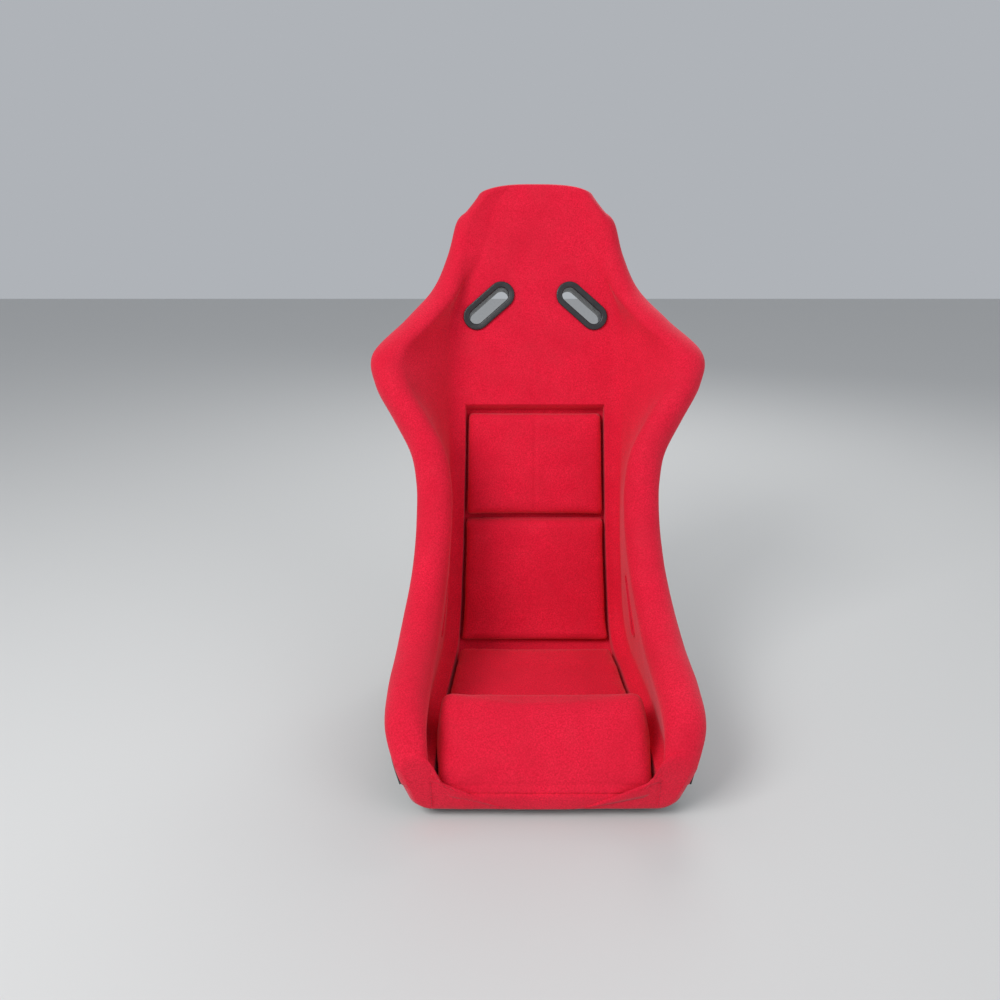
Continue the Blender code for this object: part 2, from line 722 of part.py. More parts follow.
def build_pad(spec):
    """Foam core, sewn cover open underneath, and the two halves of the hook-and-loop strip."""
    name = spec[0]
    layers = pad_layers(spec)
    hook_low = PAD_CLEAR + STRIP_THICK + GAP
    floor = hook_low + STRIP_THICK + GAP
    outer = [pad_ring(layer, floor, 0.0, PAD_ROUND) for layer in layers]
    cover = loft(f"{name}_cover", outer, FABRIC)
    inner_layers = [shift_end(layers, i, PAD_SKIN) for i in range(len(layers))]
    hollow = [pad_ring(layer, floor - PAD_SKIN, PAD_SKIN, PAD_ROUND - PAD_SKIN / 2) for layer in inner_layers]
    boolean(cover, cutter(loft(f"{name}_hollow", hollow, None)))
    core_layers = [shift_end(layers, i, PAD_SKIN + GAP) for i in range(len(layers))]
    core = [pad_ring(layer, floor, PAD_SKIN + GAP, PAD_ROUND - PAD_SKIN / 2 - GAP) for layer in core_layers]
    loft(f"{name}_core", core, FOAM)
    strip_between(layers, PAD_CLEAR, f"{name}_loop_strip", TAPE)
    strip_between(layers, hook_low, f"{name}_hook_strip", TAPE)


def shift_end(layers, i, inset):
    """The layer with its place pulled in from the pad's ends by inset."""
    base, lift, half, thick = layers[i]
    along = Vector((0.0, lift.z, -lift.y))
    if i == 0:
        base = base + along * inset
    if i == len(layers) - 1:
        base = base - along * inset
    return (base, lift, half, thick)


def flat_pad(t):
    return PAD_BED + PAD_CROWN * math.sin(math.pi * t) ** 0.5


def thigh_pad(t):
    """Thickness of the front pad: a ramp up to its crest, rounded over at both ends."""
    rise = math.sin(min(t / THIGH_CREST_AT, 1.0) * math.pi / 2)
    over = max(0.0, (t - THIGH_CREST_AT) / (1.0 - THIGH_CREST_AT))
    ramp = (THIGH_PAD_CREST - THIGH_PAD_FRONT) * rise
    return THIGH_PAD_FRONT + ramp - THIGH_CREST_DROP * over * over


def build_pads():
    heel = trough(HEEL_ROW)
    origin = trough(MID_BACK_ROW)
    along = Vector((0.0, BACK_LIFT.z, -BACK_LIFT.y))
    low_end = (bed_point(HEEL_ROW + HEEL_RISE) - origin).dot(along)
    high_end = (bed_point(BED_END - TOP_CLEAR) - origin).dot(along)
    thigh = THIGH_PAD_LENGTH * LENGTH
    rear_end = heel.y - HEEL_CLEAR
    for spec in (
        ("thigh_pad", BASE_LIFT, THIGH_PAD_START, thigh, thigh_pad),
        ("rear_seat_pad", BASE_LIFT, thigh + PAD_GAP, rear_end, flat_pad),
        ("lower_back_pad", BACK_LIFT, low_end, -PAD_GAP / 2, flat_pad),
        ("upper_back_pad", BACK_LIFT, PAD_GAP / 2, high_end, flat_pad),
    ):
        build_pad(spec)


# Harness bezels


def build_bezels():
    low = GAP - SLOT_DEPTH / 2
    for name, side in SIDES:
        frame = slot_frame(side)
        front = bezel_solid(f"front_bezel_{name}", low)
        front.matrix_world = frame
        turned = Matrix.Translation((0.0, 0.0, -SLOT_DEPTH)) @ Matrix.Rotation(math.pi, 4, "X")
        rear = bezel_solid(f"rear_bezel_{name}", low)
        rear.matrix_world = frame @ turned
        for i, end in enumerate((-1, 1)):
            hole = screw_hole(f"screw_cut_{name}_{i}", end)
            hole.matrix_world = frame @ turned
            boolean(rear, hole)
            screw = screw_solid(f"bezel_screw_{name}_{i + 1}", end)
            screw.matrix_world = frame @ turned


def screw_rod(name, end, radius, top_radius, low, length, spec):
    x = end * SCREW_SPACING / 2
    bm = bmesh.new()
    bmesh.ops.create_cone(
        bm, cap_ends=True, segments=12, radius1=radius, radius2=top_radius, depth=length,
        matrix=Matrix.Translation((x, 0.0, low + length / 2)),
    )
    return new_object(name, bm, spec)


def screw_hole(name, end):
    radius = SCREW_RADIUS + SCREW_CLEARANCE
    return cutter(screw_rod(name, end, radius, radius, BEZEL_FACE - SCREW_DEPTH, CUT_PAST, None))


def screw_solid(name, end):
    """A small pan-head screw in the rear bezel's flange."""
    low = BEZEL_FACE - SCREW_DEPTH + GAP
    return screw_rod(name, end, SCREW_RADIUS, 0.8 * SCREW_RADIUS, low, SCREW_LENGTH, STEEL)


# Side mounts


def build_mounts():
    plate_outer = BOSS_INNER_X - GAP
    plate_inner = plate_outer - PLATE_THICK
    nut_outer = plate_inner - GAP
    front, rear = mount_sites()
    for name, side in SIDES:
        xs = sorted((side * plate_inner, side * plate_outer))
        low = (xs[0], front - PLATE_END, MOUNT_Z - PLATE_HEIGHT / 2)
        high = (xs[1], rear + PLATE_END, MOUNT_Z + PLATE_HEIGHT / 2)
        plate = box(f"mount_plate_{name}", low, high, STEEL)
        for place_name, y in (("front", front), ("rear", rear)):
            reach = [side * x for x in BOLT_CUT]
            hole = rod_x(f"plate_cut_{name}_{place_name}", BOLT_HOLE, *reach, y, MOUNT_Z)
            boolean(plate, cutter(hole))
            ends = (side * (nut_outer - NUT_HEIGHT), side * nut_outer)
            nut = rod_x(f"weld_nut_{name}_{place_name}", NUT_RADIUS, *ends, y, MOUNT_Z, 6, STEEL)
            bore = rod_x(f"nut_cut_{name}_{place_name}", NUT_BORE, *reach, y, MOUNT_Z)
            boolean(nut, cutter(bore))


def move_to_origin():
    """Hangs every solid on one empty, which puts the middle of the sole at the origin."""
    origin = bpy.data.objects.new("sole_middle", None)
    origin.location = (0.0, -SOLE_MIDDLE * LENGTH, 0.0)
    for obj in list(bpy.data.objects):
        if obj is not origin:
            obj.parent = origin
    bpy.context.scene.collection.objects.link(origin)


def main():
    clear_scene()
    slots = slot_cutters()
    lap = lap_cutter()
    build_shell(slots, lap)
    build_foam(slots, lap)
    build_lining(slots, lap)
    build_welt()
    build_pads()
    build_bezels()
    build_mounts()
    move_to_origin()


main()
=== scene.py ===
"""Looks of the racing seat: a smooth fabric lining with its folds and seams, inflated pads, the
glass-fibre shell, harness bezels and piping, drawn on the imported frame."""

import math

import bmesh
import bpy
import numpy as np
from mathutils import Matrix, Vector, noise
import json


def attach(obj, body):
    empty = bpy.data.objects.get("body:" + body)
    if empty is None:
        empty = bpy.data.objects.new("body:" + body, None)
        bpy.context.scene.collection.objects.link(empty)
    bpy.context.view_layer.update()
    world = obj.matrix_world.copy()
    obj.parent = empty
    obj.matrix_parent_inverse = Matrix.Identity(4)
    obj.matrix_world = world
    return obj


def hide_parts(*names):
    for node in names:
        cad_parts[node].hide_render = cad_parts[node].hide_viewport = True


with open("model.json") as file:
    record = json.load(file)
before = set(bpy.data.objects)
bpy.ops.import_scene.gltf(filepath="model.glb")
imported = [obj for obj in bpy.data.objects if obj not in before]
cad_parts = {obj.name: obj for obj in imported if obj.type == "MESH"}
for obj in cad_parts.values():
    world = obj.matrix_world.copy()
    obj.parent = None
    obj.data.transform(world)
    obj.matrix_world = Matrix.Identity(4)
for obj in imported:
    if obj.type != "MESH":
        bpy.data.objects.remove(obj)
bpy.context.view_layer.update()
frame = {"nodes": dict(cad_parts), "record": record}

HIP, WAIST, SHOULDER, HEAD = 0.240, 0.214, 0.293, 0.150
SEAT_LEVEL = 0.068
SOLE_MIDDLE = 0.240
BASE, BACK = 0.075, 0.045
TAIL = 0.028
PAD_BED = 0.028
BED_END = 10.85
BED_FADE = 0.05
LEDGE = 0.004
SLOT_X, SLOT_ROW, SLOT_TILT = 0.088, 13.45, math.radians(41)
BEZEL = (0.112, 0.050)
SLEEVE = (0.098, 0.036)
OPENING = (0.089, 0.027)
BEZEL_LIFT, BEZEL_FACE = 0.0017, 0.0062
SLOT_DEPTH = 0.0446
LAP_CENTRE = Vector((0.0, 0.332 - SOLE_MIDDLE, 0.186))
LAP_SIZE = (0.110, 0.026)
LAP_ANGLE = math.radians(56)
MOUNT_X, MOUNT_Z = 0.2165, 0.060
MOUNT_Y = (0.075 - SOLE_MIDDLE, 0.365 - SOLE_MIDDLE)
WELT_RADIUS = 0.003

# Rows from the front lip to the top of the head: trough (y, z), crest of the bolster (y, z), outer
# half width, half width of the trough, crest radius, fillet radius, shell depth, tub half width.
ROWS = [
    ((0.004, 0.005), (0.000, 0.052), HIP - 0.020, 0.170, 0.024, 0.012, 0.055, 0.202),
    ((0.045, 0.003), (0.035, 0.097), HIP - 0.003, 0.170, 0.030, 0.016, BASE, 0.205),
    ((0.120, 0.001), (0.100, 0.118), HIP, 0.169, 0.032, 0.018, BASE, 0.206),
    ((0.210, 0.000), (0.180, 0.136), HIP - 0.005, 0.165, 0.032, 0.020, BASE, 0.206),
    ((0.300, 0.000), (0.245, 0.168), HIP - 0.012, 0.159, 0.031, 0.020, BASE, 0.206),
    ((0.380, 0.004), (0.295, 0.210), HIP - 0.020, 0.152, 0.030, 0.022, BASE, 0.205),
    ((0.432, 0.040), (0.332, 0.257), WAIST + 0.001, 0.148, 0.030, 0.022, 0.085, 0.197),
    ((0.460, 0.107), (0.358, 0.304), WAIST - 0.001, 0.145, 0.030, 0.022, 0.060, 0.188),
    ((0.482, 0.180), (0.376, 0.352), WAIST, 0.142, 0.030, 0.022, BACK, 0.182),
    ((0.507, 0.262), (0.392, 0.402), WAIST + 0.010, 0.140, 0.030, 0.024, BACK, 0.178),
    ((0.535, 0.352), (0.408, 0.452), SHOULDER - 0.039, 0.138, 0.031, 0.028, BACK, 0.175),
    ((0.562, 0.442), (0.428, 0.500), SHOULDER - 0.007, 0.137, 0.032, 0.034, BACK, 0.173),
    ((0.585, 0.517), (0.458, 0.547), SHOULDER, 0.138, 0.032, 0.034, BACK, 0.172),
    ((0.605, 0.582), (0.525, 0.594), SHOULDER - 0.053, 0.138, 0.030, 0.028, BACK, 0.171),
    ((0.620, 0.637), (0.588, 0.642), HEAD + 0.043, 0.124, 0.026, 0.020, 0.044, 0.157),
    ((0.633, 0.697), (0.621, 0.699), HEAD + 0.016, 0.098, 0.024, 0.026, 0.042, 0.132),
    ((0.643, 0.752), (0.634, 0.753), HEAD, 0.085, 0.022, 0.024, 0.040, 0.118),
    ((0.650, 0.792), (0.642, 0.793), HEAD - 0.016, 0.072, 0.021, 0.022, 0.038, 0.105),
    ((0.655, 0.817), (0.648, 0.817), HEAD - 0.042, 0.050, 0.020, 0.020, 0.034, 0.083),
]
LAST = len(ROWS) - 1


# ---------------------------------------------------------------- the fan of sections


def smooth(values, u):
    i = min(int(u), len(values) - 2)
    t = u - i
    a, b = values[max(i - 1, 0)], values[i]
    c, d = values[i + 1], values[min(i + 2, len(values) - 1)]
    return b + 0.5 * t * (c - a + t * (2 * a - 5 * b + 4 * c - d + t * (3 * (b - c) + d - a)))


def table_yz(column, u):
    y = smooth([row[column][0] for row in ROWS], u)
    z = smooth([row[column][1] for row in ROWS], u)
    return Vector((0.0, y - SOLE_MIDDLE, z + SEAT_LEVEL))


def trough(u):
    return table_yz(0, u)


def section_axis(u):
    reach = table_yz(1, u) - trough(u)
    return reach.normalized(), reach.length


def tangent(u):
    return (trough(min(u + 0.05, LAST)) - trough(max(u - 0.05, 0))).normalized()


def trough_normal(u):
    along = tangent(u)
    return Vector((0.0, -along.z, along.y))


def size(column, u):
    return smooth([row[column] for row in ROWS], u)


def arc(centre, radius, start, end, count):
    turns = [start + (end - start) * i / (count - 1) for i in range(count)]
    return [(centre[0] + radius * math.cos(a), centre[1] + radius * math.sin(a)) for a in turns]


def between(a, b, count):
    """Points strictly between a and b."""
    shares = [(i + 1) / (count + 1) for i in range(count)]
    return [(a[0] + (b[0] - a[0]) * t, a[1] + (b[1] - a[1]) * t) for t in shares]


class Section:
    """Half of the seat's section at row u, in (x, h)."""

    def __init__(self, u):
        self.u = u
        self.axis, reach = section_axis(u)
        self.base = trough(u)
        self.outer, self.trough_half = size(2, u), size(3, u)
        self.crest_radius, self.fillet_radius = size(4, u), size(5, u)
        depth = size(6, u) / self.axis.dot(trough_normal(u))
        if self.axis.z > 0.05:
            depth = min(depth, self.base.z / self.axis.z)
        self.depth = depth
        self.crest = (self.outer - self.crest_radius, reach - self.crest_radius)
        self.fillet = (self.trough_half, self.fillet_radius)
        self.corner_radius = min(0.030, 0.7 * depth)
        self.corner = (size(7, u) - self.corner_radius, self.corner_radius - depth)
        dx, dh = self.crest[0] - self.fillet[0], self.crest[1] - self.fillet[1]
        together = (self.fillet_radius + self.crest_radius) / math.hypot(dx, dh)
        self.wall_turn = math.atan2(dh, dx) + math.asin(min(together, 0.999))
        dx, dh = self.corner[0] - self.crest[0], self.corner[1] - self.crest[1]
        length = math.hypot(dx, dh)
        apart = (self.crest_radius - 0.0018 - self.corner_radius) / length
        self.wall = length * math.sqrt(1.0 - apart * apart)
        self.tail = min(TAIL, 0.7 * self.wall)
        self.flank = math.atan2(dh, dx) + math.acos(max(-1.0, min(1.0, apart)))
        if self.flank > math.pi / 2:
            self.flank -= 2 * math.pi

    def on_crest(self, radius, angle, slide=0.0):
        t = max(0.0, slide / self.wall)
        radius += 0.0032 * t * (1 - t)
        x = self.crest[0] + radius * math.cos(angle) + slide * math.sin(self.flank)
        return (x, self.crest[1] + radius * math.sin(angle) - slide * math.cos(self.flank))

    def bed(self):
        return PAD_BED * max(0.0, min(1.0, (BED_END - self.u) / BED_FADE))

    def front(self, layer):
        """The lining's face from the middle to the end of its tail; layer is below the surface."""
        bed = self.bed() + layer
        step = self.trough_half - LEDGE + layer
        start = self.fillet[0], self.fillet[1] - self.fillet_radius - layer
        floor = [(step * i / 12, -bed) for i in range(13)]
        rise = between((step, -bed), (step + 0.0012, -layer), 3) + [(step + 0.0012, -layer)]
        turn = self.wall_turn
        fillet = arc(self.fillet, self.fillet_radius + layer, -math.pi / 2, turn - math.pi / 2, 12)
        crest = arc(self.crest, self.crest_radius - layer, turn + math.pi / 2, self.flank, 30)
        wall = between(fillet[-1], crest[0], 9)
        slides = [self.tail * (i + 1) / 6 for i in range(6)]
        tail = [self.on_crest(self.crest_radius - layer, self.flank, s) for s in slides]
        return floor + rise + between(rise[-1], start, 1) + fillet + wall + crest + tail

    def back(self, layer, tight=0.0):
        """The shell's outer face from its rim to the middle of its floor."""
        radius = self.crest_radius - 0.0018 - layer
        slides = [tight + (self.wall - tight) * i / 22 for i in range(23)]
        flank = [self.on_crest(radius, self.flank, s) for s in slides]
        round_corner = max(self.corner_radius - layer, 0.001)
        corner = arc(self.corner, round_corner, self.flank, -math.pi / 2, 14)[1:]
        end = corner[-1]
        return flank + corner + [(end[0] * (1 - i / 12), end[1]) for i in range(1, 13)]

    def at(self, points):
        return [self.base + self.axis * h + Vector((x, 0.0, 0.0)) for x, h in points]


def both_sides(half):
    """A full ring from a half that starts at the middle."""
    return [Vector((-p.x, p.y, p.z)) for p in reversed(half[1:])] + half


# ---------------------------------------------------------------- mesh helpers


def make_object(name, points, faces):
    mesh = bpy.data.meshes.new(name)
    mesh.from_pydata([tuple(p) for p in points], [], faces)
    mesh.update()
    mesh.shade_smooth()
    obj = bpy.data.objects.new(name, mesh)
    bpy.context.scene.collection.objects.link(obj)
    return obj


def grid_faces(rows, columns, closed=False):
    faces = []
    for i in range(rows - 1):
        for j in range(columns if closed else columns - 1):
            k = (j + 1) % columns
            a, b = i * columns, (i + 1) * columns
            faces.append((a + j, a + k, b + k, b + j))
    return faces


def get_points(mesh):
    points = np.zeros(len(mesh.vertices) * 3, np.float32)
    mesh.vertices.foreach_get("co", points)
    return points.reshape(-1, 3).astype(float)


def set_points(mesh, points):
    mesh.vertices.foreach_set("co", np.ascontiguousarray(points, np.float32).ravel())
    mesh.update()


def get_normals(mesh):
    normals = np.zeros(len(mesh.vertices) * 3, np.float32)
    mesh.vertices.foreach_get("normal", normals)
    return normals.reshape(-1, 3).astype(float)


def bake_modifiers(obj):
    graph = bpy.context.evaluated_depsgraph_get()
    graph.update()
    mesh = bpy.data.meshes.new_from_object(obj.evaluated_get(graph))
    old = obj.data
    obj.modifiers.clear()
    obj.data = mesh
    bpy.data.meshes.remove(old)
    mesh.shade_smooth()


def fix_normals(obj):
    bm = bmesh.new()
    bm.from_mesh(obj.data)
    bmesh.ops.remove_doubles(bm, verts=bm.verts, dist=1e-6)
    bmesh.ops.recalc_face_normals(bm, faces=bm.faces)
    bm.to_mesh(obj.data)
    bm.free()
    obj.data.shade_smooth()


def stadium(length, width, segments=20):
    radius = width / 2
    reach = length / 2 - radius
    right = arc((reach, 0.0), radius, -math.pi / 2, math.pi / 2, segments + 1)
    left = arc((-reach, 0.0), radius, math.pi / 2, 1.5 * math.pi, segments + 1)
    return right + left


def stadium_loops(name, levels, matrix, caps=False):
    """A closed surface through stadium outlines (length, width, height)."""
    points = []
    for length, width, h in levels:
        points += [matrix @ Vector((x, y, h)) for x, y in stadium(length, width)]
    count = len(stadium(1.0, 0.5))
    rows = len(levels)
    faces = grid_faces(rows, count, closed=True)
    if caps:
        faces += [tuple(range(count))[::-1], tuple(range((rows - 1) * count, rows * count))]
    else:
        last = (rows - 1) * count
        faces += [(last + i, last + (i + 1) % count, (i + 1) % count, i) for i in range(count)]
    obj = make_object(name, points, faces)
    fix_normals(obj)
    return obj


def slot_frame(side):
    up = (trough(SLOT_ROW + 0.3) - trough(SLOT_ROW - 0.3)).normalized()
    out = trough_normal(SLOT_ROW)
    across = up.cross(out)
    along = across * math.cos(SLOT_TILT) - up * math.sin(SLOT_TILT) * side
    matrix = Matrix((along, out.cross(along), out)).transposed().to_4x4()
    matrix.translation = trough(SLOT_ROW) + Vector((side * SLOT_X, 0.0, 0.0))
    return matrix


def lap_frame():
    along = Vector((0.0, math.cos(LAP_ANGLE), math.sin(LAP_ANGLE)))
    out = Vector((1.0, 0.0, 0.0))
    matrix = Matrix((along, out.cross(along), out)).transposed().to_4x4()
    matrix.translation = LAP_CENTRE
    return matrix


def cut(obj, cutters):
    for other in cutters:
        modifier = obj.modifiers.new("cut", "BOOLEAN")
        modifier.object = other
        modifier.solver = "EXACT"
    bake_modifiers(obj)


SIDES = (("left", 1), ("right", -1))


# ---------------------------------------------------------------- materials


def principled(name, colour, roughness, metallic=0.0):
    made = bpy.data.materials.new(name)
    made.use_nodes = True
    shader = made.node_tree.nodes["Principled BSDF"]
    shader.inputs["Base Color"].default_value = (*colour, 1.0)
    shader.inputs["Roughness"].default_value = roughness
    shader.inputs["Metallic"].default_value = metallic
    return made, made.node_tree, shader


def node(tree, kind, **values):
    made = tree.nodes.new(kind)
    for key, value in values.items():
        if key in made.inputs:
            made.inputs[key].default_value = value
        else:
            setattr(made, key, value)
    return made


def noise_node(tree, scale, detail=4.0, stretch=None):
    where = tree.nodes.new("ShaderNodeTexCoord")
    made = node(tree, "ShaderNodeTexNoise", Scale=scale, Detail=detail)
    source = where.outputs["Object"]
    if stretch:
        mapping = tree.nodes.new("ShaderNodeMapping")
        mapping.inputs["Scale"].default_value = stretch
        tree.links.new(source, mapping.inputs["Vector"])
        source = mapping.outputs["Vector"]
    tree.links.new(source, made.inputs["Vector"])
    return made.outputs["Fac"]


def spread_range(tree, source, low, high):
    made = tree.nodes.new("ShaderNodeMapRange")
    made.inputs["From Min"].default_value = 0.3
    made.inputs["From Max"].default_value = 0.7
    made.inputs["To Min"].default_value = low
    made.inputs["To Max"].default_value = high
    tree.links.new(source, made.inputs["Value"])
    return made.outputs["Result"]


def mix_colour(tree, factor, first, second):
    made = tree.nodes.new("ShaderNodeMix")
    made.data_type = "RGBA"
    tree.links.new(factor, made.inputs[0])
    for socket, value in ((made.inputs[6], first), (made.inputs[7], second)):
        if isinstance(value, tuple):
            socket.default_value = (*value, 1.0)
        else:
            tree.links.new(value, socket)
    return made.outputs[2]


def add_bump(tree, shader, layers):
    """Stacks (height, strength, distance) into one normal."""
    last = None
    for height, strength, distance in layers:
        made = node(tree, "ShaderNodeBump", Strength=strength, Distance=distance)
        tree.links.new(height, made.inputs["Height"])
        if last:
            tree.links.new(last, made.inputs["Normal"])
        last = made.outputs["Normal"]
    tree.links.new(last, shader.inputs["Normal"])


def knit_height(tree):
    """Rows of knitted loops, about 1.6 mm apart, as a height."""
    where = tree.nodes.new("ShaderNodeTexCoord")
    cells = node(tree, "ShaderNodeTexVoronoi", Scale=620.0)
    mapping = tree.nodes.new("ShaderNodeMapping")
    mapping.inputs["Scale"].default_value = (1.0, 0.62, 0.62)
    tree.links.new(where.outputs["Object"], mapping.inputs["Vector"])
    tree.links.new(mapping.outputs["Vector"], cells.inputs["Vector"])
    return cells.outputs["Distance"]


def fabric_material(name, dark, light, sheen):
    made, tree, shader = principled(name, light, 0.85)
    broad = spread_range(tree, noise_node(tree, 14.0, 5.0), 0.0, 1.0)
    fine = spread_range(tree, noise_node(tree, 420.0, 3.0), 0.0, 1.0)
    worn = tuple(0.5 * (a + b) for a, b in zip(dark, light))
    large = mix_colour(tree, broad, worn, light)
    mixed = mix_colour(tree, fine, dark, large)
    tree.links.new(mixed, shader.inputs["Base Color"])
    rough = spread_range(tree, noise_node(tree, 30.0, 4.0), 0.74, 0.94)
    tree.links.new(rough, shader.inputs["Roughness"])
    shader.inputs["Sheen Weight"].default_value = sheen
    shader.inputs["Sheen Roughness"].default_value = 0.45
    shader.inputs["Sheen Tint"].default_value = (1.0, 0.55, 0.60, 1.0)
    shader.inputs["Specular IOR Level"].default_value = 0.18
    soft = noise_node(tree, 26.0, 4.0)
    fuzz = noise_node(tree, 900.0, 2.0)
    add_bump(tree, shader, [(soft, 0.22, 0.004), (knit_height(tree), 0.45, 0.0007), (fuzz, 0.25, 0.0004)])
    return made


def foam_material():
    made, tree, shader = principled("grey_foam", (0.16, 0.16, 0.17), 0.95)
    cells = node(tree, "ShaderNodeTexVoronoi", Scale=700.0)
    where = tree.nodes.new("ShaderNodeTexCoord")
    tree.links.new(where.outputs["Object"], cells.inputs["Vector"])
    shade = mix_colour(tree, noise_node(tree, 60.0), (0.11, 0.11, 0.12), (0.20, 0.20, 0.21))
    tree.links.new(shade, shader.inputs["Base Color"])
    rough = spread_range(tree, noise_node(tree, 90.0), 0.88, 1.0)
    tree.links.new(rough, shader.inputs["Roughness"])
    add_bump(tree, shader, [(cells.outputs["Distance"], 0.6, 0.001)])
    return made


def resin_material():
    made, tree, shader = principled("black_gelcoat", (0.012, 0.012, 0.013), 0.28)
    shade = mix_colour(tree, noise_node(tree, 35.0, 6.0), (0.009, 0.009, 0.010), (0.022, 0.022, 0.024))
    tree.links.new(shade, shader.inputs["Base Color"])
    rough = spread_range(tree, noise_node(tree, 55.0, 8.0), 0.20, 0.42)
    tree.links.new(rough, shader.inputs["Roughness"])
    shader.inputs["Coat Weight"].default_value = 0.35
    shader.inputs["Coat Roughness"].default_value = 0.12
    weave = noise_node(tree, 210.0, 2.0, (1.0, 0.35, 1.0))
    add_bump(tree, shader, [(noise_node(tree, 9.0, 3.0), 0.12, 0.006), (weave, 0.10, 0.0006)])
    return made


def plastic_material(name, colour, rough_low, rough_high, grain, depth):
    made, tree, shader = principled(name, colour, rough_high)
    lighter = tuple(1.9 * c for c in colour)
    tree.links.new(mix_colour(tree, noise_node(tree, 70.0, 5.0), colour, lighter), shader.inputs["Base Color"])
    rough = spread_range(tree, noise_node(tree, 120.0, 5.0), rough_low, rough_high)
    tree.links.new(rough, shader.inputs["Roughness"])
    add_bump(tree, shader, [(noise_node(tree, grain, 2.0), 0.25, depth)])
    return made


def steel_material():
    made, tree, shader = principled("zinc_steel", (0.52, 0.53, 0.55), 0.34, 1.0)
    streaks = noise_node(tree, 260.0, 4.0, (1.0, 0.08, 1.0))
    tree.links.new(mix_colour(tree, streaks, (0.42, 0.43, 0.45), (0.62, 0.63, 0.64)), shader.inputs["Base Color"])
    rough = spread_range(tree, noise_node(tree, 140.0, 5.0), 0.26, 0.48)
    tree.links.new(rough, shader.inputs["Roughness"])
    add_bump(tree, shader, [(streaks, 0.12, 0.0003)])
    return made


def tape_material():
    made, tree, shader = principled("black_tape", (0.03, 0.03, 0.03), 0.95)
    loops = noise_node(tree, 1100.0, 2.0)
    tree.links.new(mix_colour(tree, loops, (0.014, 0.014, 0.014), (0.055, 0.055, 0.055)), shader.inputs["Base Color"])
    rough = spread_range(tree, noise_node(tree, 80.0), 0.86, 1.0)
    tree.links.new(rough, shader.inputs["Roughness"])
    add_bump(tree, shader, [(loops, 0.7, 0.0008)])
    return made


def thread_material():
    made, tree, shader = principled("red_thread", (0.50, 0.010, 0.035), 0.6)
    twist = noise_node(tree, 1500.0, 2.0)
    tree.links.new(mix_colour(tree, twist, (0.34, 0.006, 0.022), (0.62, 0.016, 0.05)), shader.inputs["Base Color"])
    rough = spread_range(tree, noise_node(tree, 200.0), 0.5, 0.7)
    tree.links.new(rough, shader.inputs["Roughness"])
    add_bump(tree, shader, [(twist, 0.5, 0.0003)])
    return made


RED = fabric_material("red_fabric", (0.58, 0.006, 0.026), (0.90, 0.013, 0.052), 0.22)
FOAM = foam_material()
RESIN = resin_material()
PLASTIC = plastic_material("black_plastic", (0.014, 0.014, 0.016), 0.30, 0.46, 900.0, 0.0004)
RUBBER = plastic_material("black_rubber", (0.012, 0.012, 0.012), 0.62, 0.82, 500.0, 0.0006)
STEEL = steel_material()
TAPE = tape_material()
THREAD = thread_material()
SLOT_MATERIALS = {
    "red_fabric": RED,
    "grey_foam": FOAM,
    "black_gelcoat": RESIN,
    "black_plastic": PLASTIC,
    "black_rubber": RUBBER,
    "zinc_steel": STEEL,
    "black_tape": TAPE,
}


def dress(obj, slot, body="seat", covers=()):
    """Gives a piece its material, body and the CAD nodes that it stands for."""
    obj.data.materials.clear()
    obj.data.materials.append(SLOT_MATERIALS[slot])
    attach(obj, body)
    if covers:
        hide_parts(*covers)
    return obj


# ---------------------------------------------------------------- lining


def smoothstep(low, high, value):
    t = np.clip((value - low) / (high - low), 0.0, 1.0)
    return t * t * (3 - 2 * t)


def round_head(points):
    """Lowers the two top corners of the head into a dome."""
    edge = np.minimum(np.abs(points[:, 0]) / 0.12, 1.1) ** 3
    moved = points.copy()
    moved[:, 2] -= 0.021 * edge * smoothstep(0.815, 0.885, points[:, 2])
    return moved


def field(points, scale, seed):
    """Smooth noise at each point, about -1 to 1."""
    shift = Vector((seed, 2.7 * seed, -1.3 * seed))
    return np.array([noise.noise(Vector(p) * scale + shift) for p in points])


def fold(points, centre, along, length, width, height):
    """A low ridge along a line through centre."""
    offset = points - np.array(centre)
    axis = np.array(along, float) / np.linalg.norm(along)
    run = offset @ axis
    across = np.linalg.norm(offset - np.outer(run, axis), axis=1)
    fade = np.exp(-((run / length) ** 2))
    return height * fade * np.exp(-((across / width) ** 2))


FOLDS = [
    ((-0.204, 0.190, 0.500), (0.35, 0.3, 0.9), 0.030, 0.0035, 0.0026),
    ((-0.196, 0.200, 0.478), (0.45, 0.3, 0.8), 0.028, 0.0035, 0.0022),
    ((-0.212, 0.185, 0.462), (0.25, 0.2, 0.9), 0.024, 0.0030, 0.0018),
    ((0.206, 0.190, 0.492), (-0.35, 0.3, 0.9), 0.026, 0.0040, 0.0010),
    ((-0.176, 0.090, 0.215), (0.1, 0.75, 0.65), 0.045, 0.0045, 0.0014),
    ((-0.180, 0.060, 0.235), (0.1, 0.80, 0.60), 0.040, 0.0040, 0.0012),
    ((0.176, 0.040, 0.165), (-0.1, 0.85, 0.5), 0.035, 0.0045, 0.0011),
    ((0.178, 0.150, 0.265), (-0.1, 0.55, 0.8), 0.030, 0.0040, 0.0010),
    ((-0.150, 0.300, 0.640), (0.5, 0.1, 0.8), 0.030, 0.0040, 0.0010),
    ((0.150, 0.300, 0.640), (-0.5, 0.1, 0.8), 0.030, 0.0040, 0.0009),
]


